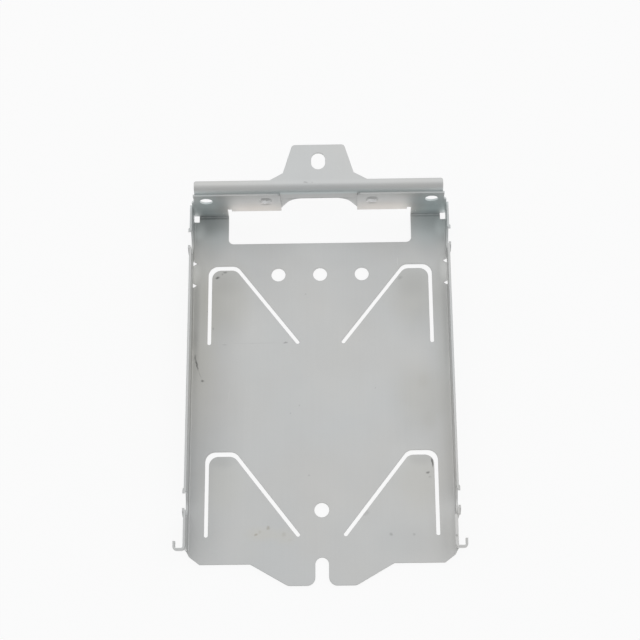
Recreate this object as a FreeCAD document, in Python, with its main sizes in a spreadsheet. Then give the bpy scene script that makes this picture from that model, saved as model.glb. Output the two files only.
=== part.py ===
import FreeCAD, Part
import math
import os
import Sketcher

# Hard drive caddy of folded plated sheet: a tray with two front ears and a clinched front bracket.
# X runs across, Y to the front, Z up. The origin lies below the middle, on the underside.

doc = FreeCAD.newDocument("caddy")
sheet = doc.addObject("Spreadsheet::Sheet", "Sizes")


# Sizes that carry their formula

class Size:
    """A number together with the sheet formula that it comes from."""

    def __init__(self, number, formula):
        self.number = number
        self.formula = formula

    def __add__(self, other):
        other = as_size(other)
        return Size(self.number + other.number, f"({self.formula} + {other.formula})")

    def __sub__(self, other):
        other = as_size(other)
        return Size(self.number - other.number, f"({self.formula} - {other.formula})")

    def __mul__(self, other):
        other = as_size(other)
        return Size(self.number * other.number, f"({self.formula} * {other.formula})")

    def __truediv__(self, other):
        other = as_size(other)
        return Size(self.number / other.number, f"({self.formula} / {other.formula})")

    def __radd__(self, other):
        return as_size(other) + self

    def __rsub__(self, other):
        return as_size(other) - self

    def __rmul__(self, other):
        return as_size(other) * self

    def __neg__(self):
        return Size(-self.number, f"(0 - {self.formula})")


def as_size(value):
    return value if isinstance(value, Size) else Size(float(value), repr(float(value)))


def root(value):
    return Size(math.sqrt(value.number), f"sqrt({value.formula})")


def sine(angle):
    return Size(math.sin(math.radians(angle.number)), f"sin({angle.formula} * 1 deg)")


def cosine(angle):
    return Size(math.cos(math.radians(angle.number)), f"cos({angle.formula} * 1 deg)")


def tangent(angle):
    return Size(math.tan(math.radians(angle.number)), f"tan({angle.formula} * 1 deg)")


row = 0


def size(alias, number, note):
    """Writes one row of the sheet and gives back its size."""
    global row
    row += 1
    sheet.set(f"A{row}", note)
    sheet.set(f"B{row}", str(number))
    sheet.setAlias(f"B{row}", alias)
    return Size(number, f"Sizes.{alias}")


# Sheet and channel
gauge = size("gauge", 0.6, "sheet thickness")
bend = size("bend_inside", 0.4, "inside radius of a fold")
half = size("half_width", 37.3, "middle to outer face of a side wall")
wall = size("wall_height", 8.0, "underside to side wall top")
wall_rear = size("wall_rear", 51.85, "middle to rear end of a side wall")
front = size("front_face", 47.6, "middle to outer face of the ears")
fold = gauge + bend

# A cut runs this far past a face, and a pad this far into what it joins
over = gauge * 2

# Rear of the floor
plate_past = size("plate_past", 1.5, "side walls to rear corner cut")
plate_flare = size("plate_flare", 0.8, "floor past the fold at the end of a wall")
corner_long = size("corner_long", 2.2, "length of the corner cut")
corner_wide = size("corner_wide", 2.9, "width of the corner cut")
tail_long = size("tail_long", 5.95, "rear edge to end of the tail")
tail_foot = size("tail_foot", 19.6, "middle to foot of the tail")
tail_slope = size("tail_slope", 30.0, "angle of the tail shoulders")
tail_round = size("tail_round", 2.5, "radius of the tail corners")
notch = size("notch_radius", 1.86, "radius of the tail notch")
notch_deep = size("notch_deep", 7.65, "depth of the tail notch")
mouth_round = size("mouth_round", 2.3, "radius of the tail notch mouth")
plate_side = wall_rear + plate_past
rear_edge = plate_side + corner_long
tail = rear_edge + tail_long
notch_top = tail - notch_deep

# Floor holes and window
hole_row = size("hole_row", 28.55, "middle to front row of holes")
hole_step = size("hole_step", 12.05, "step of the front row of holes")
hole_rear = size("hole_rear", 40.75, "middle to rear hole")
hole = size("floor_hole", 2.05, "radius of a floor hole")
window_x = size("window_half", 26.6, "middle to side of the window")
window_y = size("window_near", 38.25, "middle to near edge of the window")
window_round = size("window_round", 1.5, "radius of the window corners")

# Bent slots of the floor
slot_x = size("slot_x", 31.77, "middle to upright leg of a bent slot")
slot_y = size("slot_y", 30.75, "middle to top run of a front slot")
slot_end = size("slot_end", 7.4, "middle to closed ends of a front slot")
slot_in = size("slot_in", 24.1, "middle to slant leg at the top run")
slot_lean = size("slot_lean", 37.6, "angle of the slant leg")
slot_wide = size("slot_wide", 1.1, "width of the legs of a bent slot")
slot_top = size("slot_top", 1.4, "width of the top run of a bent slot")
slot_round = size("slot_round", 2.85, "outside radius of the slot corners")
slot_inner = size("slot_inner", 2.6, "inside radius of the slot corners")
slot_step = size("slot_step", 55.5, "front slots to rear slots")

# Open holes of the side walls
seat_y = size("seat_y", 37.2, "middle to front open hole")
seat_step = size("seat_step", 76.6, "step of the open holes")
seat = size("seat_radius", 3.5, "radius of an open hole")
seat_mouth = size("seat_mouth", 4.0, "width of the mouth of an open hole")
seat_rim = size("seat_rim", 0.6, "width of the raised lips")
seat_proud = size("seat_proud", 0.35, "height of the raised lips")
seat_sunk = size("seat_sunk", 0.3, "depth of the recess behind the lips")

# Bent rear end of the right wall
bent_in = size("bent_in", 0.75, "lean of the bent end at its top")
bent_clear = size("bent_clear", 0.3, "lips of the rear hole to the bent end")

# Hooks, lugs and edge nick
hook_out = size("hook_out", 2.7, "reach of a hook past the wall")
hook_back = size("hook_back", 2.5, "length of a hook")
hook_tall = size("hook_tall", 1.5, "height of a hook strip")
lug_long = size("lug_long", 5.4, "length of a flat lug")
lug_ahead = size("lug_ahead", 0.4, "front row of holes to middle of a lug")
lug_gap = size("lug_gap", 1.4, "width of the pointed notches beside a lug")
lug_in = size("lug_in", 1.8, "outer face to point of a notch")
lug_open = size("lug_open", 1.2, "underside to top of the opening over a lug")
nick_in = size("nick_in", 2.0, "rear end of the wall to the edge nick")
nick = size("nick_size", 0.6, "size of the edge nick")

# Ears of the front
ear_top = size("ear_top", 15.6, "underside to ear top")
ear_low = size("ear_low", 4.5, "underside to lower edge of an ear")
rim_half = size("rim_half", 35.35, "middle to end of the bracket")
ear_past = size("ear_past", 0.45, "end of the bracket to outer end of an ear")
ear_in = size("ear_in", 11.0, "middle to inner end of an ear")
ear_fold = size("ear_fold", 35.2, "middle to outer end of the front fold")
ear_step = size("ear_step", 0.2, "top of the front fold to side step of an ear")
ear_gap = size("ear_gap", 0.1, "side wall to side of an ear")
ear_neck = size("ear_neck", 10.5, "underside to shoulder of an ear")
ear_shoulder = size("ear_shoulder", 1.5, "height of the sloping shoulder of an ear")
ear_round = size("ear_round", 1.2, "radius of the inner ear corner")
relief = size("corner_relief", 2.3, "length of the corner relief")
relief_up = size("relief_up", 1.2, "height of the corner relief")
slit = size("slit_wide", 1.2, "width of the relief beside the window")
slit_top = size("slit_top", 6.0, "underside to top of that relief")
eye_in = size("eye_in", 3.05, "end of the bracket to ear hole")
eye_z = size("eye_z", 11.8, "underside to ear hole")
eye = size("eye_radius", 1.85, "radius of an ear hole")
back_eye = size("back_eye", 2.4, "radius of the clearance hole behind an ear hole")
back_drop = size("back_drop", 0.9, "drop of the clearance hole below the ear hole")
clinch_in = size("clinch_in", 4.25, "inner end of an ear to clinch point")
clinch_z = size("clinch_z", 12.0, "underside to clinch point")
clinch = size("clinch_radius", 1.6, "inside radius of the clinch cup")
clinch_wall = size("clinch_wall", 0.4, "thickness of a clinch wall")
clinch_deep = size("clinch_deep", 0.5, "depth of the clinch")
dimple = size("dimple_mouth", 1.9, "radius of a clinch dimple at its mouth")
dimple_slope = size("dimple_slope", 38.0, "slope of the side of a clinch dimple")
ear_out = rim_half + ear_past
ear_wide = half - gauge - ear_gap
step_z = fold + ear_step
eye_x = rim_half - eye_in
clinch_x = ear_in + clinch_in

# Front bracket
rim_top = size("rim_top", 18.0, "underside to top of the rim")
rim_round = size("rim_round", 2.2, "outside radius of the rim fold")
rim_lip = size("rim_lip", 0.8, "flat width of the rim past its fold")
rim_share = size("rim_share", 0.85, "share of that width that each rim corner rounds off")
tab_reach = size("tab_reach", 13.9, "ears to end of the tab")
tab_top = size("tab_top", 7.4, "middle to top corner of the tab")
tab_waist = size("tab_waist", 10.05, "middle to waist of the tab")
waist_reach = size("waist_reach", 5.15, "ears to waist of the tab")
tab_foot = size("tab_foot", 13.87, "middle to foot of the tab")
tab_round = size("tab_round", 1.1, "radius of the tab corners")
eyelet_y = size("eyelet_y", 8.8, "ears to middle of the tab hole")
eyelet = size("eyelet_radius", 2.0, "end radius of the tab hole")
eyelet_long = size("eyelet_long", 1.2, "straight length of the tab hole")
arch_top = size("arch_top", 11.8, "underside to top of the arch")
arch_half = size("arch_half", 7.8, "middle to top corner of the arch")
arch_foot = size("arch_foot", 11.4, "middle to foot of the arch")
arch_round = size("arch_round", 5.0, "radius of the arch corners")

doc.recompute()


# Sketch and feature helpers

def origin_plane(body, role):
    for item in body.Origin.OriginFeatures:
        if item.Role == role:
            return item
    raise ValueError(role)


def new_body(label):
    body = doc.addObject("PartDesign::Body", label)
    body.Label = label
    return body


def new_sketch(body, name, role, lift=None):
    """An empty sketch on an origin plane, lifted along the plane's own normal."""
    sketch = body.newObject("Sketcher::SketchObject", name)
    sketch.AttachmentSupport = [(origin_plane(body, role), "")]
    sketch.MapMode = "FlatFace"
    if lift is not None:
        sketch.AttachmentOffset = FreeCAD.Placement(FreeCAD.Vector(0, 0, lift.number), FreeCAD.Rotation())
        sketch.setExpression("AttachmentOffset.Base.z", f"{lift.formula} * 1 mm")
    return sketch


def tie(sketch, kind, geometry, point, value):
    """Ties one coordinate of a point to its formula."""
    value = as_size(value)
    if value.formula == "0.0":
        axis = -2 if kind == "DistanceX" else -1
        sketch.addConstraint(Sketcher.Constraint("PointOnObject", geometry, point, axis))
        return
    index = sketch.addConstraint(Sketcher.Constraint(kind, -1, 1, geometry, point, value.number))
    sketch.setExpression(f"Constraints[{index}]", value.formula)


def arc_between(start, end, radius, turn):
    """A round stretch from start to end; turn is 1 for a left bend and -1 for a right bend."""
    middle = (start + end) * 0.5
    chord = end - start
    half_chord = chord.Length / 2
    rise = math.sqrt(max(radius * radius - half_chord * half_chord, 0.0))
    side = FreeCAD.Vector(-chord.y, chord.x, 0)
    side.normalize()
    centre = middle + side * (rise * turn)
    first, last = (start, end) if turn > 0 else (end, start)
    begin = math.atan2(first.y - centre.y, first.x - centre.x)
    finish = math.atan2(last.y - centre.y, last.x - centre.x)
    if finish <= begin:
        finish += 2 * math.pi
    circle = Part.Circle(centre, FreeCAD.Vector(0, 0, 1), radius)
    return Part.ArcOfCircle(circle, begin, finish)


def draw(sketch, points, arcs=None):
    """Closes an outline through the points. arcs gives, by the number of its first point, a round
    stretch as (radius, turn), or as (radius, turn, axis, place) where the centre is tied instead."""
    arcs = arcs or {}
    spots = [FreeCAD.Vector(as_size(x).number, as_size(y).number, 0) for x, y in points]
    count = len(points)
    ends = []
    for number in range(count):
        start = spots[number]
        end = spots[(number + 1) % count]
        if number in arcs:
            radius, turn = arcs[number][:2]
            index = sketch.addGeometry(arc_between(start, end, radius.number, turn), False)
            ends.append((index, 1, 2) if turn > 0 else (index, 2, 1))
        else:
            index = sketch.addGeometry(Part.LineSegment(start, end), False)
            ends.append((index, 1, 2))
    for number in range(count):
        index, start, end = ends[number]
        following, next_start, next_end = ends[(number + 1) % count]
        sketch.addConstraint(Sketcher.Constraint("Coincident", index, end, following, next_start))
    for number in range(count):
        index, start, end = ends[number]
        x, y = points[number]
        tie(sketch, "DistanceX", index, start, x)
        tie(sketch, "DistanceY", index, start, y)
        if number in arcs and len(arcs[number]) == 4:
            tie(sketch, arcs[number][2], index, 3, arcs[number][3])
        elif number in arcs:
            radius = arcs[number][0]
            tied = sketch.addConstraint(Sketcher.Constraint("Radius", index, radius.number))
            sketch.setExpression(f"Constraints[{tied}]", radius.formula)


def draw_box(sketch, left, right, low, high):
    draw(sketch, [(left, low), (right, low), (right, high), (left, high)])


def draw_circle(sketch, x, y, radius):
    spot = FreeCAD.Vector(as_size(x).number, as_size(y).number, 0)
    index = sketch.addGeometry(Part.Circle(spot, FreeCAD.Vector(0, 0, 1), radius.number), False)
    tie(sketch, "DistanceX", index, 3, x)
    tie(sketch, "DistanceY", index, 3, y)
    tied = sketch.addConstraint(Sketcher.Constraint("Radius", index, radius.number))
    sketch.setExpression(f"Constraints[{tied}]", radius.formula)


def extrude(body, kind, sketch, name, length, back=False, both=False):
    """Pads or pockets a sketch by a tied length."""
    length = as_size(length)
    feature = body.newObject(f"PartDesign::{kind}", name)
    feature.Profile = sketch
    feature.Length = length.number
    feature.setExpression("Length", f"{length.formula} * 1 mm")
    feature.Reversed = back
    feature.SideType = "Symmetric" if both else "One side"
    sketch.Visibility = False
    doc.recompute()
    return feature


def mirrored(points):
    return [(-x, y) for x, y in points]


def flipped(arcs):
    return {number: (arc[0], -arc[1]) + tuple(arc[2:]) for number, arc in arcs.items()}


# Tray

tray = new_body("tray")

# The channel: floor and two side walls folded up
profile = new_sketch(tray, "ChannelProfile", "XZ_Plane", -front)
corner = half - fold
right_side = [
    (corner, 0), (half, fold), (half, wall), (half - gauge, wall), (half - gauge, fold), (corner, gauge),
]
left_side = mirrored(right_side)[::-1]
draw(profile, right_side + left_side, {0: (fold, 1), 4: (bend, -1), 6: (bend, -1), 10: (fold, 1)})
extrude(tray, "Pad", profile, "Channel", front + wall_rear)

# The floor behind the walls, with cut corners and a notched tail
plate = new_sketch(tray, "RearOutline", "XY_Plane")
tip_x = tail_foot - (tail - rear_edge) / tangent(tail_slope)
ease = tail_round * tangent(tail_slope / 2)
right_side = [
    (corner, over - wall_rear),
    (corner, -wall_rear),
    (corner + plate_flare, -wall_rear),
    (corner, -plate_side),
    (corner - corner_wide, -rear_edge),
    (tail_foot, -rear_edge),
    (tip_x + ease * cosine(tail_slope), ease * sine(tail_slope) - tail),
    (tip_x - ease, -tail),
    (notch + mouth_round, -tail),
    (notch, mouth_round - tail),
    (notch, -notch_top - notch),
]
left_side = mirrored(right_side)[::-1]
draw(plate, right_side + left_side, {
    6: (tail_round, -1), 8: (mouth_round, -1), 10: (notch, 1, "DistanceY", -notch_top - notch),
    12: (mouth_round, -1), 14: (tail_round, -1),
})
extrude(tray, "Pad", plate, "RearFloor", gauge)

# The front end is opened for the fold, with a square relief in each corner
trim = new_sketch(tray, "FrontTrimOutline", "XY_Plane")
past = half + over
draw(trim, [
    (-past, front - relief), (-ear_fold, front - relief), (-ear_fold, front - fold),
    (ear_fold, front - fold), (ear_fold, front - relief), (past, front - relief),
    (past, front + over), (-past, front + over),
])
extrude(tray, "Pocket", trim, "FrontTrim", relief_up, back=True)

# The fold up to the ears
turn_up = new_sketch(tray, "FrontFoldProfile", "YZ_Plane")
draw(turn_up, [
    (front - fold - over, 0), (front - fold, 0), (front, fold), (front, step_z),
    (front - gauge, step_z), (front - gauge, fold), (front - fold, gauge), (front - fold - over, gauge),
], {1: (fold, 1), 5: (bend, -1)})
extrude(tray, "Pad", turn_up, "FrontFold", ear_fold * 2, both=True)

# Two ears, each reaching in over the window and out to the side wall
ears = new_sketch(tray, "EarOutline", "XZ_Plane", -front)
ear = [
    (ear_in, fold), (ear_fold, fold), (ear_fold, step_z), (ear_wide, step_z), (ear_wide, ear_neck),
    (ear_out, ear_neck + ear_shoulder), (ear_out, ear_top),
    (ear_in + ear_round, ear_top), (ear_in, ear_top - ear_round),
]
draw(ears, ear, {7: (ear_round, 1)})
draw(ears, mirrored(ear), {7: (ear_round, -1)})
extrude(tray, "Pad", ears, "Ears", gauge)

# The window in front crosses the fold and frees the lower edges of the ears
window = new_sketch(tray, "WindowOutline", "XY_Plane")
draw(window, [
    (window_round - window_x, window_y), (window_x - window_round, window_y),
    (window_x, window_y + window_round), (window_x, front + over),
    (-window_x, front + over), (-window_x, window_y + window_round),
], {1: (window_round, 1), 5: (window_round, 1)})
extrude(tray, "Pocket", window, "Window", ear_low, back=True)

slits = new_sketch(tray, "WindowSlits", "XZ_Plane", -front)
draw_box(slits, window_x - slit, window_x, ear_low - over, slit_top)
draw_box(slits, -window_x, slit - window_x, ear_low - over, slit_top)
extrude(tray, "Pocket", slits, "WindowReliefs", over * 2, both=True)

# Round holes of the floor
holes = new_sketch(tray, "FloorHoles", "XY_Plane")
for step in (-1, 0, 1):
    draw_circle(holes, hole_step * step if step else 0, hole_row, hole)
draw_circle(holes, 0, -hole_rear, hole)
extrude(tray, "Pocket", holes, "Holes", over * 2, both=True)

# Bent slots that free four pointed tongues
reach = slot_wide / 2
top = slot_y + slot_top / 2
under = slot_y - slot_top / 2
spread = reach / cosine(slot_lean)
lean = tangent(slot_lean)
outer_ease = slot_round * tangent((90 - slot_lean) / 2)
inner_ease = slot_inner * tangent((90 - slot_lean) / 2)
low = slot_end + reach
outer_x = slot_in - spread + (top - slot_y) * lean
inner_x = slot_in + spread - (slot_y - under) * lean
slant = slot_in - (slot_y - low) * lean
cap_x = reach * cosine(slot_lean)
cap_y = reach * sine(slot_lean)
slot = [
    (slot_x + reach, low),
    (slot_x + reach, top - slot_round),
    (slot_x + reach - slot_round, top),
    (outer_x + outer_ease, top),
    (outer_x - outer_ease * sine(slot_lean), top - outer_ease * cosine(slot_lean)),
    (slant - cap_x, low + cap_y),
    (slant + cap_x, low - cap_y),
    (inner_x - inner_ease * sine(slot_lean), under - inner_ease * cosine(slot_lean)),
    (inner_x + inner_ease, under),
    (slot_x - reach - slot_inner, under),
    (slot_x - reach, under - slot_inner),
    (slot_x - reach, low),
]
slot_arcs = {
    1: (slot_round, 1), 3: (slot_round, 1), 5: (reach, 1, "DistanceY", low),
    7: (slot_inner, -1), 9: (slot_inner, -1), 11: (reach, 1, "DistanceY", low),
}
for place, shift in (("Front", as_size(0)), ("Rear", slot_step)):
    slots = new_sketch(tray, f"{place}SlotOutline", "XY_Plane")
    moved = [(x, y - shift) for x, y in slot]
    moved_arcs = {
        number: arc[:3] + (arc[3] - shift,) if len(arc) == 4 else arc for number, arc in slot_arcs.items()
    }
    draw(slots, moved, moved_arcs)
    draw(slots, mirrored(moved), flipped(moved_arcs))
    extrude(tray, "Pocket", slots, f"{place}Slots", over * 2, both=True)

# The rear end of the right wall leans in from behind the rear open hole
inside = half - gauge
bent_y = seat_y - seat_step - seat - seat_rim - bent_clear
gone = new_sketch(tray, "BentEndCut", "XZ_Plane", -bent_y)
draw_box(gone, inside - over, half + over, fold, wall + over)
extrude(tray, "Pocket", gone, "BentEndRemoved", wall_rear + bent_y + over, back=True)

bent = new_sketch(tray, "BentEndProfile", "XZ_Plane", -bent_y)
draw(bent, [(inside, fold), (half, fold), (half - bent_in, wall), (inside - bent_in, wall)])
extrude(tray, "Pad", bent, "BentEnd", wall_rear + bent_y)

# Open holes of the side walls, with raised lips outside and a shallow recess behind the lips
seat_z = wall - root(seat * seat - seat_mouth * seat_mouth / 4)


def draw_seats(sketch, radius, wide, high):
    """Draws an open round outline at both stations, narrowing to a mouth of the given width."""
    rise = root(radius * radius - wide * wide)
    for station in (seat_y, seat_y - seat_step):
        draw(sketch, [
            (station - wide, seat_z + rise), (station + wide, seat_z + rise),
            (station + wide, high), (station - wide, high),
        ], {0: (radius, 1, "DistanceY", seat_z)})


def draw_lips(sketch, radius):
    """Draws a disc at both stations, from the middle of the hole up to the top of the wall."""
    wide = root(radius * radius - (wall - seat_z) * (wall - seat_z))
    for station in (seat_y, seat_y - seat_step):
        draw(sketch, [
            (station - radius, seat_z), (station + radius, seat_z),
            (station + wide, wall), (station - wide, wall),
        ], {1: (radius, 1), 3: (radius, 1)})


for place, left in (("Right", False), ("Left", True)):
    side = -1 if left else 1
    lips = new_sketch(tray, f"{place}LipOutline", "YZ_Plane", half * side)
    draw_lips(lips, seat + seat_rim)
    extrude(tray, "Pad", lips, f"{place}Lips", seat_proud, back=left)

    sunk = new_sketch(tray, f"{place}RecessOutline", "YZ_Plane", (inside + seat_sunk) * side)
    draw_lips(sunk, seat + seat_rim / 2)
    extrude(tray, "Pocket", sunk, f"{place}Recesses", fold, back=left)

    seats = new_sketch(tray, f"{place}SeatOutline", "YZ_Plane", half * side)
    draw_seats(seats, seat, seat_mouth / 2, wall + over)
    extrude(tray, "Pocket", seats, f"{place}Seats", (fold + seat_proud) * 2, both=True)

# Flat lugs that stay in the floor where the wall fold is broken, with a pointed notch at each end
lug_half = lug_long / 2
point_half = lug_half + lug_gap / 2
gap_half = lug_half + lug_gap
lug_root = half - lug_in
lug_y = hole_row + lug_ahead
broken = [
    (lug_root, lug_y - point_half), (inside, lug_y - gap_half), (past, lug_y - gap_half),
    (past, lug_y + gap_half), (inside, lug_y + gap_half), (lug_root, lug_y + point_half),
]
breaks = new_sketch(tray, "LugGaps", "XY_Plane")
draw(breaks, broken)
draw(breaks, mirrored(broken))
extrude(tray, "Pocket", breaks, "LugOpenings", lug_open, back=True)

lug = [
    (lug_root - over, lug_y - point_half), (lug_root, lug_y - point_half), (inside, lug_y - lug_half),
    (half, lug_y - lug_half), (half, lug_y + lug_half), (inside, lug_y + lug_half),
    (lug_root, lug_y + point_half), (lug_root - over, lug_y + point_half),
]
lugs = new_sketch(tray, "LugOutline", "XY_Plane")
draw(lugs, lug)
draw(lugs, mirrored(lug))
extrude(tray, "Pad", lugs, "Lugs", gauge)

# Hooks bent out of the rear ends of the side walls, the right one on the bent end
hooks = new_sketch(tray, "HookOutline", "XY_Plane", wall - hook_tall)
outside = half + hook_out
elbow = outside - fold
hook = [
    (inside, -wall_rear),
    (inside + fold, -wall_rear - fold),
    (elbow, -wall_rear - fold),
    (outside, -wall_rear),
    (outside, hook_back - wall_rear - fold),
    (outside - gauge, hook_back - wall_rear - fold),
    (outside - gauge, -wall_rear),
    (elbow, gauge - wall_rear - fold),
    (inside + fold, gauge - wall_rear - fold),
    (half, -wall_rear),
]
hook_arcs = {0: (fold, 1), 2: (fold, 1), 6: (bend, -1), 8: (bend, -1)}
draw(hooks, [(x - bent_in, y) for x, y in hook], hook_arcs)
draw(hooks, mirrored(hook), flipped(hook_arcs))
extrude(tray, "Pad", hooks, "Hooks", hook_tall)

# A nick in the top edge of the bent end
chip = new_sketch(tray, "NickOutline", "YZ_Plane", inside - bent_in - gauge)
nick_y = nick_in - wall_rear
draw_box(chip, nick_y - nick / 2, nick_y + nick / 2, wall - nick, wall + over)
extrude(tray, "Pocket", chip, "Nick", gauge * 3, back=True)

# Ear holes and clinch cups
eyes = new_sketch(tray, "EarHoles", "XZ_Plane", -front)
draw_circle(eyes, eye_x, eye_z, eye)
draw_circle(eyes, -eye_x, eye_z, eye)
extrude(tray, "Pocket", eyes, "EarEyes", over * 2, both=True)

cups = new_sketch(tray, "CupOutline", "XZ_Plane", -front)
draw_circle(cups, clinch_x, clinch_z, clinch + clinch_wall)
draw_circle(cups, -clinch_x, clinch_z, clinch + clinch_wall)
extrude(tray, "Pad", cups, "Cups", clinch_deep, back=True)

dimples = new_sketch(tray, "DimpleOutline", "XZ_Plane", gauge - front)
draw_circle(dimples, clinch_x, clinch_z, dimple)
draw_circle(dimples, -clinch_x, clinch_z, dimple)
cone = extrude(tray, "Pocket", dimples, "Dimples", gauge + clinch_deep - clinch_wall)
cone.TaperAngle = -dimple_slope.number
cone.setExpression("TaperAngle", f"(0 - {dimple_slope.formula}) * 1 deg")


# Front bracket

bracket = new_body("front_bracket")

# The upright wall and its wide fold at the top
rim_y = front + rim_round
angle = new_sketch(bracket, "BracketProfile", "YZ_Plane")
draw(angle, [
    (front, ear_low), (front + gauge, ear_low), (front + gauge, rim_top - rim_round),
    (rim_y, rim_top - gauge), (rim_y, rim_top), (front, rim_top - rim_round),
], {2: (rim_round - gauge, -1), 4: (rim_round, 1)})
extrude(bracket, "Pad", angle, "BracketWall", rim_half * 2, both=True)

# The rim with the pull tab
rim = new_sketch(bracket, "RimOutline", "XY_Plane", rim_top - gauge)
rim_edge = rim_y + rim_lip
rim_corner = rim_lip * rim_share
waist = front + waist_reach
tab_end = front + tab_reach
side_x = tab_waist - tab_top
side_y = tab_reach - waist_reach
side = root(side_x * side_x + side_y * side_y)
ease = tab_round * (side - side_x) / side_y
right_side = [
    (rim_half, rim_y),
    (rim_half, rim_edge - rim_corner),
    (rim_half - rim_corner, rim_edge),
    (tab_foot, rim_edge),
    (tab_waist, waist),
    (tab_top + ease * side_x / side, tab_end - ease * side_y / side),
    (tab_top - ease, tab_end),
]
left_side = mirrored(right_side)[::-1]
draw(rim, right_side + left_side, {
    1: (rim_corner, 1), 5: (tab_round, 1), 7: (tab_round, 1), 11: (rim_corner, 1),
})
extrude(bracket, "Pad", rim, "Rim", gauge)

# The arch for a finger
arch = new_sketch(bracket, "ArchOutline", "XZ_Plane", -front)
side_x = arch_foot - arch_half
side_z = arch_top - ear_low
side = root(side_x * side_x + side_z * side_z)
ease = arch_round * (side - side_x) / side_z
right_side = [
    (arch_foot, ear_low - over),
    (arch_foot, ear_low),
    (arch_half + ease * side_x / side, arch_top - ease * side_z / side),
    (arch_half - ease, arch_top),
]
left_side = mirrored(right_side)[::-1]
draw(arch, right_side + left_side, {2: (arch_round, 1), 4: (arch_round, 1)})
extrude(bracket, "Pocket", arch, "Arch", over * 2, both=True)

# Clearance holes behind the ear holes, and the long hole of the tab
eyes = new_sketch(bracket, "BracketHoles", "XZ_Plane", -front)
draw_circle(eyes, eye_x, eye_z - back_drop, back_eye)
draw_circle(eyes, -eye_x, eye_z - back_drop, back_eye)
extrude(bracket, "Pocket", eyes, "BracketEyes", over * 2, both=True)

oval = new_sketch(bracket, "TabHole", "XY_Plane", rim_top)
near = front + eyelet_y - eyelet_long / 2
far = front + eyelet_y + eyelet_long / 2
draw(oval, [(-eyelet, near), (eyelet, near), (eyelet, far), (-eyelet, far)], {
    0: (eyelet, 1, "DistanceY", near), 2: (eyelet, 1, "DistanceY", far),
})
extrude(bracket, "Pocket", oval, "Eyelet", over * 2, both=True)

# Clinch bumps, hollow behind to take the cups of the ears
bumps = new_sketch(bracket, "BumpOutline", "XZ_Plane", -front - gauge)
draw_circle(bumps, clinch_x, clinch_z, clinch + clinch_wall * 2)
draw_circle(bumps, -clinch_x, clinch_z, clinch + clinch_wall * 2)
extrude(bracket, "Pad", bumps, "Bumps", clinch_deep, back=True)

hollows = new_sketch(bracket, "HollowOutline", "XZ_Plane", -front)
draw_circle(hollows, clinch_x, clinch_z, clinch + clinch_wall)
draw_circle(hollows, -clinch_x, clinch_z, clinch + clinch_wall)
extrude(bracket, "Pocket", hollows, "Hollows", clinch_deep)

# Check and write

doc.recompute()
for item in doc.Objects:
    if "Invalid" in item.State or "Error" in item.State:
        raise RuntimeError(f"{item.Name} is not sound: {item.State}")

os.makedirs("parts", exist_ok=True)
for body in (tray, bracket):
    shape = body.Shape
    if shape.isNull() or not shape.isValid() or len(shape.Solids) != 1:
        raise RuntimeError(f"{body.Label} is not one sound solid")
    box = shape.BoundBox
    print(f"{body.Label}: {shape.Volume:.1f} mm3, X {box.XMin:.2f} to {box.XMax:.2f},"
          f" Y {box.YMin:.2f} to {box.YMax:.2f}, Z {box.ZMin:.2f} to {box.ZMax:.2f}")
    shape.exportStep(f"parts/{body.Label}.step")
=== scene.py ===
# %% [markdown]
# # A drive caddy of plated sheet steel
# The caddy is two sheets of zinc-plated steel: a flat tray with low side walls, and a front bracket
# that is clinched to the tray's two ears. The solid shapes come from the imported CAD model. This
# lesson gives them soft edges, a worn satin plating, a camera that looks down as the photograph does,
# and plain studio light.

# %% Load the fixed frame
import math

import bmesh
import bpy
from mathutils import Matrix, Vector


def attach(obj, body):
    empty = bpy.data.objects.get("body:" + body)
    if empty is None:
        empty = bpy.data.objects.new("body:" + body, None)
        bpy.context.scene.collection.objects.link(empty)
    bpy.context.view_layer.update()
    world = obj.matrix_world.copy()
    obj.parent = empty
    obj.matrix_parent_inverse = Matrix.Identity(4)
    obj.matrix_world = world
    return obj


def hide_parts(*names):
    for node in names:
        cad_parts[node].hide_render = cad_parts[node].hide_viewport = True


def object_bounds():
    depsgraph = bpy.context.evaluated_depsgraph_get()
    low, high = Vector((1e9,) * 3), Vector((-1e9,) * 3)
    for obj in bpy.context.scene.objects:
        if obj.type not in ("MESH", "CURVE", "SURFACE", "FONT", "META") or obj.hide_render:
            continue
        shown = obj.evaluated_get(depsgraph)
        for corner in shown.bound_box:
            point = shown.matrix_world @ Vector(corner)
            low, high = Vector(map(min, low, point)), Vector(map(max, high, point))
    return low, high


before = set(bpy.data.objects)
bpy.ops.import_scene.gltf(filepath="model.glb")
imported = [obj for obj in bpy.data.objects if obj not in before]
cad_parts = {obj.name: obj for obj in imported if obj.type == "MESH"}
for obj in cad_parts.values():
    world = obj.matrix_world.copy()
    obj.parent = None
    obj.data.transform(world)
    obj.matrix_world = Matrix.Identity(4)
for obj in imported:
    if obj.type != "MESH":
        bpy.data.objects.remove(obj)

cad_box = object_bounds()
MM = 0.001
print("nodes:", sorted(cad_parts), "box:", cad_box)

# %% [markdown]
# ## The camera
# The photograph looks almost straight down with a long lens, from a little behind the tail. The
# place and the tilt were worked out from points that show clearly in it, such as the round holes of
# the floor. Those points hardly settle the lens, so it was picked out of six that were tried. The
# small turns about the other two axes are there because nobody holds a camera quite level.

# %% Look down as the photograph does
CAMERA_PLACE = (7.79, -132.39, 419.38)
CAMERA_TURNS = (19.33, 1.02, -0.77)
LENS = 87.19

camera_data = bpy.data.cameras.new("photo_camera")
camera_data.lens = LENS
camera_data.sensor_width = 36.0
camera_data.clip_start = 10 * MM
camera = bpy.data.objects.new("photo_camera", camera_data)
camera.location = Vector(CAMERA_PLACE) * MM
camera.rotation_mode = "ZYX"
camera.rotation_euler = [math.radians(turn) for turn in CAMERA_TURNS]
bpy.context.scene.collection.objects.link(camera)
bpy.context.scene.camera = camera
print("camera at", tuple(round(value, 4) for value in camera.location))

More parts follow.
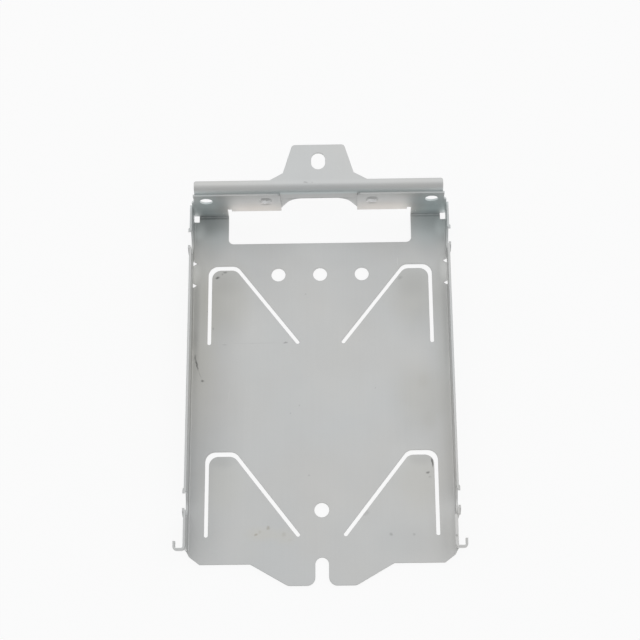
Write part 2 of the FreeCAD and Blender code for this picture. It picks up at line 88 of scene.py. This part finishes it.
# %% [markdown]
# ## Shader maths as Python
# A finish is a long sum of small masks. Drawn with nodes alone it is hard to read, so one small class
# wraps a socket and gives it the usual operators. Every other node comes from one method, `add`,
# which takes the kind of node, its settings, and what its sockets are fed with.

# %% A socket with operators
class Wire:
    """One output of a node tree. Operators on it add Math nodes."""

    def __init__(self, finish, socket):
        self.finish = finish
        self.socket = socket

    def maths(self, operation, first, second):
        return self.finish.add("ShaderNodeMath", {"operation": operation}, {0: first, 1: second})

    def __add__(self, other):
        return self.maths("ADD", self, other)

    def __radd__(self, other):
        return self.maths("ADD", other, self)

    def __sub__(self, other):
        return self.maths("SUBTRACT", self, other)

    def __rsub__(self, other):
        return self.maths("SUBTRACT", other, self)

    def __mul__(self, other):
        return self.maths("MULTIPLY", self, other)

    def __rmul__(self, other):
        return self.maths("MULTIPLY", other, self)


class Finish:
    """A node tree under construction."""

    def __init__(self, tree):
        self.tree = tree
        tree.nodes.clear()

    def add(self, kind, settings=None, inputs=None, output=0):
        """Adds a node, sets it up, feeds its sockets and gives back one output."""
        node = self.tree.nodes.new(kind)
        for name, value in (settings or {}).items():
            setattr(node, name, value)
        for name, value in (inputs or {}).items():
            if isinstance(value, Wire):
                self.tree.links.new(value.socket, node.inputs[name])
            else:
                node.inputs[name].default_value = value
        return Wire(self, node.outputs[output]) if node.outputs else node


print("Wire and Finish are ready")

# %% [markdown]
# ## The table
# The caddy lies on a plain white table. A table that is bright enough to look white would throw too
# much light on the metal, so part of its brightness is shown only to the camera and to reflections.
# The other part is plain paint, which keeps the caddy's shadow. The table lies a hair below the
# sheet, so that the two never share a plane.

# %% White table
FLOOR_HALF = 3.0
FLOOR_DROP = 0.15 * MM
FLOOR_PAINT = (0.9, 0.9, 0.9, 1)
SHOWN_WHITE = 0.88

floor_mesh = bpy.data.meshes.new("table")
shape = bmesh.new()
bmesh.ops.create_grid(shape, x_segments=1, y_segments=1, size=FLOOR_HALF)
bmesh.ops.translate(shape, verts=shape.verts, vec=(0, 0, cad_box[0][2] - FLOOR_DROP))
shape.to_mesh(floor_mesh)
shape.free()
floor = bpy.data.objects.new("table", floor_mesh)
bpy.context.scene.collection.objects.link(floor)

table_white = bpy.data.materials.new("table_white")
table_white.use_nodes = True
paint = Finish(table_white.node_tree)
seen = paint.add("ShaderNodeLightPath", {}, {}, "Is Camera Ray")
mirrored = paint.add("ShaderNodeLightPath", {}, {}, "Is Glossy Ray")
through = paint.add("ShaderNodeLightPath", {}, {}, "Is Transmission Ray")
flat_white = paint.add("ShaderNodeBsdfDiffuse", {}, {"Color": FLOOR_PAINT})
glow = paint.add("ShaderNodeEmission", {}, {"Color": (1, 1, 1, 1), "Strength": 1.0})
white = paint.add("ShaderNodeMixShader", {}, {
    0: (seen + mirrored + through) * SHOWN_WHITE, 1: flat_white, 2: glow,
})
paint.add("ShaderNodeOutputMaterial", {}, {"Surface": white})
floor_mesh.materials.append(table_white)
print("table", 2 * FLOOR_HALF, "m wide")

# %% [markdown]
# ## The room
# Satin metal is mostly a blurred picture of the room, so the room matters more than any lamp. Here
# the world is a pale dome. It is bright in front of the caddy and dimmer behind the camera, as in a
# room where the one who takes the picture stands in the way, and a little brighter to the right. The
# square corners of the caddy send light straight back to the camera, so that dimmer side is what
# makes them look deep.

# %% Pale dome
DOME_TINT = (0.985, 0.995, 1.0, 1)
DIM_SIDE, BRIGHT_SIDE = 0.56, 0.84
DIM_UP_TO, BRIGHT_FROM = -0.42, 0.22
RIGHT_LIFT = 0.08

world = bpy.data.worlds.new("studio")
bpy.context.scene.world = world
world.use_nodes = True
sky = Finish(world.node_tree)
ray = sky.add("ShaderNodeTexCoord", {}, {}, "Generated")
across = sky.add("ShaderNodeSeparateXYZ", {}, {0: ray}, "X")
along = sky.add("ShaderNodeSeparateXYZ", {}, {0: ray}, "Y")
front_light = sky.add("ShaderNodeMapRange", {"interpolation_type": "SMOOTHSTEP"}, {
    "Value": along, "From Min": DIM_UP_TO, "From Max": BRIGHT_FROM,
    "To Min": DIM_SIDE, "To Max": BRIGHT_SIDE,
})
dome = sky.add("ShaderNodeBackground", {}, {
    "Color": DOME_TINT, "Strength": front_light + RIGHT_LIFT * across,
})
sky.add("ShaderNodeOutputWorld", {}, {"Surface": dome})
bpy.context.scene.view_settings.view_transform = "Standard"
print("dome from", DIM_SIDE, "behind the camera to", BRIGHT_SIDE, "in front")

# %% [markdown]
# ## The lamp
# One wide lamp gives the table its soft shadow. It stands high in front of the caddy and points at
# its middle. Lamp and dome stay at a plain level, at which a colour renders about as it is written.

# %% Wide soft lamp
LAMP_WIDE = 2.0
LAMP_POWER = 2.6
LAMP_PLACE = (0.25, 0.75, 1.5)

lamp_data = bpy.data.lights.new("overhead", "AREA")
lamp_data.size = LAMP_WIDE
lamp_data.energy = LAMP_POWER
lamp = bpy.data.objects.new("overhead", lamp_data)
lamp.location = LAMP_PLACE
lamp.rotation_euler = (-lamp.location).to_track_quat("-Z", "Y").to_euler()
bpy.context.scene.collection.objects.link(lamp)
print("lamp", LAMP_WIDE, "m wide,", LAMP_POWER, "W")

# %% [markdown]
# ## Sheets with smooth folds
# A CAD mesh arrives as loose flat triangles, so a round fold would show as narrow stripes. A merged
# copy of each sheet takes its place. Faces that meet at a small angle are shaded as one smooth skin,
# edges that meet sharply stay sharp, and weighted normals keep the large flat faces truly flat. The
# shape itself isn't touched.

# %% Merge the sheets
MERGE_WITHIN = 1e-6
SMOOTH_BELOW = math.radians(32)
FLAT_BELOW = math.radians(0.3)


def smooth_sheet(node):
    """A merged, smoothly shaded copy that stands for one CAD sheet."""
    mesh = node.data.copy()
    sheet = bmesh.new()
    sheet.from_mesh(mesh)
    bmesh.ops.remove_doubles(sheet, verts=sheet.verts, dist=MERGE_WITHIN)
    bmesh.ops.dissolve_degenerate(sheet, edges=sheet.edges, dist=MERGE_WITHIN)
    bmesh.ops.dissolve_limit(sheet, angle_limit=FLAT_BELOW, verts=sheet.verts, edges=sheet.edges)
    for face in sheet.faces:
        face.smooth = True
    sheet.to_mesh(mesh)
    sheet.free()
    mesh.set_sharp_from_angle(angle=SMOOTH_BELOW)
    piece = bpy.data.objects.new("plated_" + node.name, mesh)
    bpy.context.scene.collection.objects.link(piece)
    weighted = piece.modifiers.new("flat faces lead", "WEIGHTED_NORMAL")
    weighted.mode = "FACE_AREA"
    weighted.keep_sharp = True
    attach(piece, "root")
    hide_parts(node.name)
    return piece


tray = smooth_sheet(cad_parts["tray"])
bracket = smooth_sheet(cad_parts["front_bracket"])
for piece in (tray, bracket):
    print(piece.name, len(piece.data.vertices), "vertices", len(piece.data.polygons), "faces")

# %% [markdown]
# ## How a mark is written
# The floor of the real tray has a few dark scratches, specks and small brown stains. Other rows are
# painted shade along the side walls and in the front corners, and painted light on the ears. Each of
# these is written as one row: its middle and its half sizes in millimetres, its turn in degrees, and
# how strongly it shows. A row becomes a soft round mask, stretched and turned. Rows are easier to
# place and to change than a painted picture.

# %% Kinds of rows
FLOOR_TOP = 0.6
EAR_FACE = 47.0
WALL_FACE = 47.6
RIM_TOP = 18.0
FLOOR_DEEP, FACE_DEEP, RIM_DEEP = 0.4, 1.5, 0.6


def around(middle, reach, strength):
    """A soft area around a point."""
    return middle, reach, 0, strength


def on_floor(x, y, wide, long, strength, turn=0):
    """A mark on the tray's floor."""
    return (x, y, FLOOR_TOP), (wide, long, FLOOR_DEEP), turn, strength


def on_ear(x, z, wide, high, strength):
    """A mark on an ear's inner face."""
    return around((x, EAR_FACE, z), (wide, FACE_DEEP, high), strength)


def on_wall(z, wide, high, strength):
    """A mark on the middle of the bracket's inner face."""
    return around((0, WALL_FACE, z), (wide, FACE_DEEP, high), strength)


def on_rim(x, y, wide, long, strength, turn):
    """A mark on the bracket's rim."""
    return (x, y, RIM_TOP), (wide, long, RIM_DEEP), turn, strength


def both(row, left=None):
    """A row on the right and its mirror image, which may have a strength of its own."""
    (x, y, z), reach, turn, strength = row
    return ((-x, y, z), reach, -turn, strength if left is None else left), row


print("a row:", on_floor(0, 0, 1, 2, 0.5, turn=30))

# %% [markdown]
# ## Where the tray is dull, bright or tinted
# Wide rows come first, most of them weak. The plating is uneven, with an olive cast on the tongues
# between the slots, and weak wide rows make parts of the floor and the tongues a little darker. Most
# other rows are painted shade and painted light: a dim band of painted shade beside each wall,
# painted shade with a cool tint in the front corners, in the folds and below each ear, painted light
# on the side walls and, with a warm tint, on the ears, and a painted highlight as a pale crescent at
# the bottom of each clinch dimple, because the photograph shows these more strongly than plain light
# does.

# %% Wide rows of the tray
CLINCH_X = 15.25

# Painted shade: a dim band beside each side wall, stronger on the left, where the walls hide part of the
# room.
SIDE_WALL_SHADE = [around((-39, -4, 0), (17, 75, 3), 0.17), around((39, 0, 0), (11, 70, 3), 0.03)]
# Painted shade in most rows: the front corners, the fold below each ear, the outer ends of the ears, the
# folds at the foot of the side walls and the floor near the front corners. The weak wide rows on the floor
# and the tongues only make those places a little darker.
SHADE_AND_DULL_AREAS = SIDE_WALL_SHADE + [
    around((-32.5, 44.4, 1), (8, 4.4, 4), 0.23), around((32, 44.4, 1), (8, 4.6, 4), 0.12),
    *both(around((31.5, 46.6, 0.7), (9, 0.65, 0.4), 0.28), left=0.36),
    *both(on_ear(28, 7, 2.6, 9, 0.08)),
    around((-35.7, 16, 0.6), (1.3, 22, 1.0), 0.11), around((-35.7, -20, 0.6), (1.3, 60, 1.0), 0.02),
    around((35.9, 18, 0.6), (1.3, 20, 1.0), 0.06), around((-36, 9, 0.8), (1.2, 3.5, 1.2), 0.06),
    *both(on_floor(33, 36.5, 6, 5.5, 0.07)),
    on_floor(-17, 25, 9, 11, 0.03), on_floor(14, 20, 10, 12, 0.03),
    on_floor(26, -18.5, 8, 6, 0.035), on_floor(24, -50, 11, 5.5, 0.04),
    on_floor(-27.5, -26.8, 4, 2.2, 0.06), on_floor(27.5, -26.4, 4.2, 2.4, 0.08),
    on_floor(-26.5, 26.5, 6, 5, 0.05), on_floor(26.5, 26, 6, 5.5, 0.05),
    *both(on_floor(27, 20, 8, 13, 0.095), left=0.08),
    on_floor(27, -8, 9, 11, 0.075), on_floor(27, -33, 7, 9, 0.02),
]
# Painted light: the ears brightened for light thrown up from the table, the inner faces and foot folds of
# the side walls, the corner reliefs, and a painted highlight on the lower slope of each clinch dimple.
PAINTED_LIGHT_AREAS = [
    *both(on_ear(19, 8, 17, 11, 0.13)),
    *both(on_ear(18, 5, 14, 4, 0.04)),
    *both(on_ear(33.5, 10, 6, 8, 0.11)),
    *both(around((CLINCH_X, 47.24, 10.4), (1.9, 0.36, 0.9), 0.75), left=0.85),
    *both(on_ear(23.5, 7, 3, 9, 0.04)),
    on_ear(-31.5, 2.2, 9, 2.4, 0.15), on_ear(31.5, 3.0, 9, 4.0, 0.15),
    *both(around((36, -2, 5.5), (1.1, 70, 4.5), 0.2), left=0.23),
    *both(around((36.2, 29.3, 0.8), (1.8, 5.0, 1.8), 0.18), left=0.21),
    around((-35.3, 43.0, 0.8), (2.4, 3.4, 2.0), 0.22), around((35.4, 43.4, 0.8), (2.2, 3.6, 2.0), 0.18),
    *both(around((28.5, 43.5, 0.8), (3.0, 3.4, 2.0), 0.03), left=0.05),
    around((35.8, -48.0, 0.8), (2.2, 7.5, 1.6), 0.08), on_floor(1, 36.5, 17, 4.5, 0.022),
    around((-36.3, -6, 2.6), (1.0, 75, 2.0), 0.17), around((36.3, -2, 2.6), (1.0, 90, 2.0), 0.22),
]
# Painted shade: a cool blue tint in the front corners and on the outer ends of the ears.
COOL_CORNER_SHADE = [
    *both(around((32, 43, 3), (9, 8, 14), 0.55), left=0.45),
    *both(on_ear(32, 9, 7.5, 11, 0.5)),
]
OLIVE_AREAS = [
    on_floor(-27, 22, 9, 13, 0.55), on_floor(27, 22.5, 9, 12, 0.4),
    *both(on_floor(27, -33, 8, 10, 0.4), left=0.35),
    on_floor(28, -8.5, 8, 11, 0.4),
    on_floor(-16.5, -47.3, 5.5, 2.4, 0.55), on_floor(-10, -48, 3.5, 2.6, 0.4),
    around((-35, 12, 0.6), (7, 34, 3), 0.6), around((36, 5, 0.6), (4, 40, 3), 0.25),
]
# Painted light: a warm rose tint on the ears, for light the table throws up onto them.
WARM_BOUNCE_AREAS = both(on_ear(18, 5.5, 14, 6, 0.7), left=0.75)
print(len(SHADE_AND_DULL_AREAS), "dull,", len(PAINTED_LIGHT_AREAS), "bright and",
      len(COOL_CORNER_SHADE) + len(OLIVE_AREAS) + len(WARM_BOUNCE_AREAS), "tinted areas")

# %% [markdown]
# ## Scratches, specks and stains of the tray
# Small rows follow: scratches beside the left wall, grazes beside the bends of the slots, and a few
# brown specks near the tail. The last dark rows are painted shade on the upper half and the lower
# lip of each clinch dimple.

# %% Small rows of the tray
DARK_MARKS_AND_DIMPLE_SHADE = [
    on_floor(-35.2, 1.6, 0.28, 2.1, 0.5, turn=13), on_floor(-35.7, 3.7, 0.3, 1.0, 0.32, turn=-4),
    on_floor(-34.3, -1.4, 0.22, 1.6, 0.12, turn=20), on_floor(-33.5, -3.3, 0.5, 0.45, 0.38),
    on_floor(-29.7, 27.8, 0.7, 0.48, 0.5, turn=15), on_floor(-27.5, 29.5, 0.75, 0.36, 0.32, turn=5),
    on_floor(-28.3, 28.9, 0.3, 0.35, 0.22), on_floor(-32.3, 17.5, 0.25, 0.4, 0.2),
    on_floor(-30.7, 12.3, 0.3, 0.5, 0.16), on_floor(-27.4, 7.4, 0.9, 0.22, 0.12),
    on_floor(-10.0, 7.8, 0.8, 0.3, 0.28, turn=10), on_floor(-18.4, 7.75, 8.5, 0.18, 0.05),
    on_floor(23.1, 27.1, 0.9, 0.6, 0.14, turn=30), on_floor(30.7, -27.6, 0.26, 1.6, 0.62, turn=8),
    on_floor(29.4, -30.6, 0.6, 0.35, 0.42, turn=15), on_floor(29.9, -31.8, 0.5, 0.4, 0.12),
    on_floor(27.3, -25.1, 2.6, 0.28, 0.16), on_floor(18.9, -47.7, 0.5, 0.45, 0.2),
    on_floor(25.2, -47.8, 0.5, 0.45, 0.14), on_floor(12.0, -41.7, 1.3, 0.9, 0.1, turn=20),
    on_floor(-31.8, -39.7, 0.35, 0.6, 0.2), on_floor(-32.0, -45.0, 0.4, 0.5, 0.12),
    on_floor(-4.2, 22.5, 0.3, 0.25, 0.12), on_floor(-6.1, -10.8, 0.3, 0.25, 0.14),
    on_floor(-8.6, -13.1, 0.3, 0.25, 0.14), on_floor(-3.4, -31.0, 0.35, 0.3, 0.12),
    on_floor(15.4, -6.0, 0.3, 0.3, 0.12),
    # Painted shade on the upper half and on the lower lip of each clinch dimple.
    *both(around((CLINCH_X, 47.8, 12.4), (1.9, 0.65, 1.7), 0.16), left=0.28),
    *both(around((CLINCH_X, EAR_FACE, 9.3), (1.9, 0.2, 0.85), 0.16), left=0.22),
]
BROWN_MARKS = [
    on_floor(-14.7, -45.6, 0.65, 0.65, 0.32), on_floor(-18.1, -47.4, 0.65, 0.42, 0.36, turn=20),
    on_floor(-17.0, -46.7, 0.6, 0.5, 0.12, turn=30), on_floor(-10.4, -47.5, 0.8, 0.8, 0.13),
    on_floor(-8.6, -49.0, 0.8, 0.6, 0.05), on_floor(29.0, -4.0, 2.0, 2.6, 0.04),
    on_floor(30.2, -15.6, 2.4, 3.4, 0.04),
]
LIGHT_MARKS = [
    on_floor(22.45, 32.2, 0.1, 1.6, 0.1, turn=2), on_floor(-26.0, -8.0, 0.08, 3.0, 0.05, turn=-8),
    on_floor(9.0, 12.0, 0.07, 2.4, 0.04, turn=21),
    *both(on_ear(28, 3.1, 0.2, 0.6, 0.2)),
]
print(len(DARK_MARKS_AND_DIMPLE_SHADE), "dark,", len(BROWN_MARKS), "brown and", len(LIGHT_MARKS), "light marks")

# %% [markdown]
# ## Rows of the bracket
# The wide fold at the top of the bracket mirrors the room behind the camera. It is painted a little
# cooler than the flat sheet, as painted reflection, and carries painted highlights, and a faint
# painted light lies on the middle of the wall. A thin line of painted shade runs along the top of the
# finger arch. The rim has a few fine scratches and dark specks.

# %% Rows of the bracket
ALL_ALONG = 200

# Painted reflection: a cool tint on the wide fold.
FOLD_COOL_REFLECTION = [around((0, 47.9, 15.9), (ALL_ALONG, 1.5, 1.5), 0.65)]
# Painted highlights on the wide fold and a faint painted light on the middle of the wall; the two thin rows
# on the rim are real scratches.
FOLD_HIGHLIGHTS_AND_RIM_SCRATCHES = [
    around((0, 47.8, 15.9), (ALL_ALONG, 1.4, 1.3), 0.09),
    around((0, 49.3, 17.4), (ALL_ALONG, 1.6, 1.4), 0.028),
    on_wall(13.5, 11, 3, 0.03),
    on_rim(6.0, 54.0, 0.07, 1.8, 0.05, turn=30), on_rim(-21.0, 50.0, 1.8, 0.08, 0.05, turn=4),
]
# Painted shade: a thin dark line along the top of the finger arch. The two rows on the rim are real dark
# specks.
ARCH_SHADE_AND_RIM_SPECKS = [
    on_wall(11.6, 10, 0.7, 0.4),
    on_rim(-3.6, 49.8, 0.9, 0.3, 0.2, turn=-12), on_rim(-1.8, 49.7, 0.5, 0.2, 0.12, turn=-5),
]
print(len(FOLD_COOL_REFLECTION + FOLD_HIGHLIGHTS_AND_RIM_SCRATCHES + ARCH_SHADE_AND_RIM_SPECKS), "rows on the bracket")

# %% [markdown]
# ## Satin zinc plate
# Zinc plate on rolled sheet is pale grey and softly shiny. Up close it is never even: it has broad
# clouds, a fine grain, and faint streaks along the way the sheet was rolled. The colour drifts
# between a warm and a cool grey. All of it reads Object coordinates, in millimetres, so that the
# pattern stays on the metal. A row's mask comes from the distance to its middle, measured in the
# row's own stretched and turned space. A little noise is added to the place first, so that the marks
# have ragged edges.

# %% Patterns of the plating
COOL_GREY = (0.95, 0.968, 0.972, 1)
WARM_GREY = (0.98, 0.968, 0.943, 1)
# This blue tints the painted shade in the corners and the painted reflection on the bracket's fold.
SHADE_BLUE = (0.87, 0.965, 0.975, 1)
OLIVE_GREY = (0.985, 0.968, 0.905, 1)
# This rose tints the painted warm light on the ears.
WARM_BOUNCE_ROSE = (1.0, 0.94, 0.885, 1)
RUST_BROWN = (0.42, 0.34, 0.2, 1)
RAGGED_BY = (0.5, 0.5, 0.0)
# A mask ends this many half sizes from its middle, and is full from this share of the way in
MASK_ENDS = 1.2
MASK_FULL = 0.83


class Plating(Finish):
    """A finish with the patterns of a plated sheet, measured in millimetres."""

    def __init__(self, tree):
        super().__init__(tree)
        place = self.add("ShaderNodeTexCoord", {}, {}, "Object")
        self.spot = self.add("ShaderNodeVectorMath", {"operation": "SCALE"}, {0: place, "Scale": 1 / MM})
        wobble = self.add("ShaderNodeTexNoise", {}, {
            "Vector": self.spot, "Scale": 1.3, "Detail": 2.0,
        }, "Color")
        centred = self.add("ShaderNodeVectorMath", {"operation": "SUBTRACT"},
                           {0: wobble, 1: (0.5, 0.5, 0.5)})
        self.ragged = self.add("ShaderNodeVectorMath", {"operation": "MULTIPLY_ADD"},
                               {0: centred, 1: RAGGED_BY, 2: self.spot})

    def noise(self, scale, detail, stretch=(1, 1, 1), shift=(0, 0, 0)):
        """A noise pattern about zero, stretched and shifted."""
        moved = self.add("ShaderNodeMapping", {}, {"Vector": self.spot, "Location": shift, "Scale": stretch})
        return self.add("ShaderNodeTexNoise", {}, {"Vector": moved, "Scale": scale, "Detail": detail}) - 0.5

    def marked(self, rows):
        """The sum of the soft masks of all rows, added up one by one."""
        total = 0
        for middle, reach, turn, strength in rows:
            local = self.add("ShaderNodeMapping", {"vector_type": "TEXTURE"}, {
                "Vector": self.ragged, "Location": middle, "Scale": [MASK_ENDS * half for half in reach],
                "Rotation": (0, 0, math.radians(turn)),
            })
            near = self.add("ShaderNodeTexGradient", {"gradient_type": "SPHERICAL"},
                            {"Vector": local}, "Fac")
            total = total + self.add("ShaderNodeMapRange", {"interpolation_type": "SMOOTHSTEP"}, {
                "Value": near, "From Min": 0.0, "From Max": MASK_FULL, "To Min": 0.0, "To Max": strength,
            })
        return total

    def blend(self, factor, first, second):
        """Two colours mixed. The colour sockets of a Mix node have numbers, because its names repeat."""
        return self.add("ShaderNodeMix", {"data_type": "RGBA"}, {"Factor": factor, 6: first, 7: second}, 2)


print("patterns are ready")

# %% [markdown]
# ## One finish for both sheets
# Both sheets have the same kind of plating, so one function makes both materials from a tone and rows
# of marks. Patterns and bright rows add up to one brightness, and dull and dark rows take some of it
# away. That brightness then scales the tinted colour. A dark scratch is also rougher. A Bevel node
# rounds the light on cut edges, which catches a thin line of brightness as on real sheet.

# %% Plate both sheets
TRAY_TONE = 0.665
BRACKET_TONE = 0.69
SATIN = 0.54
EDGE_ROUND = 0.16 * MM
SKIN_DEEP = 0.03 * MM


def zinc_plate(name, tone, dull, bright, dark, tints):
    """A satin plating with clouds, grain, rolling streaks and rows of marks."""
    material = bpy.data.materials.new(name)
    material.use_nodes = True
    plate = Plating(material.node_tree)
    clouds = plate.noise(scale=0.05, detail=3.0)
    blotches = plate.noise(scale=0.16, detail=4.0, shift=(11, 3, 7))
    grain = plate.noise(scale=2.4, detail=2.0)
    streaks = plate.noise(scale=1.0, detail=3.0, stretch=(1.6, 0.035, 1.6))
    drift = plate.noise(scale=0.035, detail=2.0, shift=(5, 21, 2))

    # The dark rows are real scratches and specks together with painted shade; the dull rows are mostly
    # painted shade and the bright rows painted light.
    dark_marks_and_shade = plate.marked(dark)
    light = tone + 0.05 * clouds + 0.035 * blotches + 0.03 * grain + 0.018 * streaks + plate.marked(bright)
    light = light * (1 - plate.marked(dull)) * (1 - dark_marks_and_shade)
    colour = plate.blend(0.5 + 1.6 * drift, COOL_GREY, WARM_GREY)
    for tint, rows in tints:
        colour = plate.blend(plate.marked(rows), colour, tint)
    colour = plate.add("ShaderNodeVectorMath", {"operation": "SCALE"}, {0: colour, "Scale": light})
    rounded = plate.add("ShaderNodeBevel", {"samples": 6}, {"Radius": EDGE_ROUND})
    skin = plate.add("ShaderNodeBump", {}, {
        "Strength": 0.12, "Distance": SKIN_DEEP, "Height": grain + 0.6 * streaks, "Normal": rounded,
    })
    shader = plate.add("ShaderNodeBsdfPrincipled", {}, {
        "Base Color": colour, "Metallic": 1.0, "Normal": skin,
        "Roughness": SATIN + 0.10 * blotches + 0.08 * grain + 0.25 * dark_marks_and_shade,
    })
    plate.add("ShaderNodeOutputMaterial", {}, {"Surface": shader})
    return material


tray_tints = [
    (SHADE_BLUE, COOL_CORNER_SHADE), (OLIVE_GREY, OLIVE_AREAS), (WARM_BOUNCE_ROSE, WARM_BOUNCE_AREAS), (RUST_BROWN, BROWN_MARKS),
]
bracket_tints = [(SHADE_BLUE, FOLD_COOL_REFLECTION)]
# Painted light from the wide rows, together with real fine scratches from the light marks.
tray_highlights_and_scratches = PAINTED_LIGHT_AREAS + LIGHT_MARKS
tray_zinc = zinc_plate("tray_zinc", TRAY_TONE, SHADE_AND_DULL_AREAS, tray_highlights_and_scratches, DARK_MARKS_AND_DIMPLE_SHADE, tray_tints)
bracket_zinc = zinc_plate("bracket_zinc", BRACKET_TONE, SIDE_WALL_SHADE, FOLD_HIGHLIGHTS_AND_RIM_SCRATCHES, ARCH_SHADE_AND_RIM_SPECKS, bracket_tints)
finishes = (tray, "plated_tray", tray_zinc), (bracket, "plated_bracket", bracket_zinc)
for piece, slot, material in finishes:
    piece.data.materials.clear()
    piece.data.materials.append(material)
    print("plated", piece.name, "with", len(material.node_tree.nodes), "nodes")

# %% [markdown]
# ## The sizes
# A finish adds nothing to the shape, so the dressed part keeps the box of the CAD model.

# %% Finish
print("done")
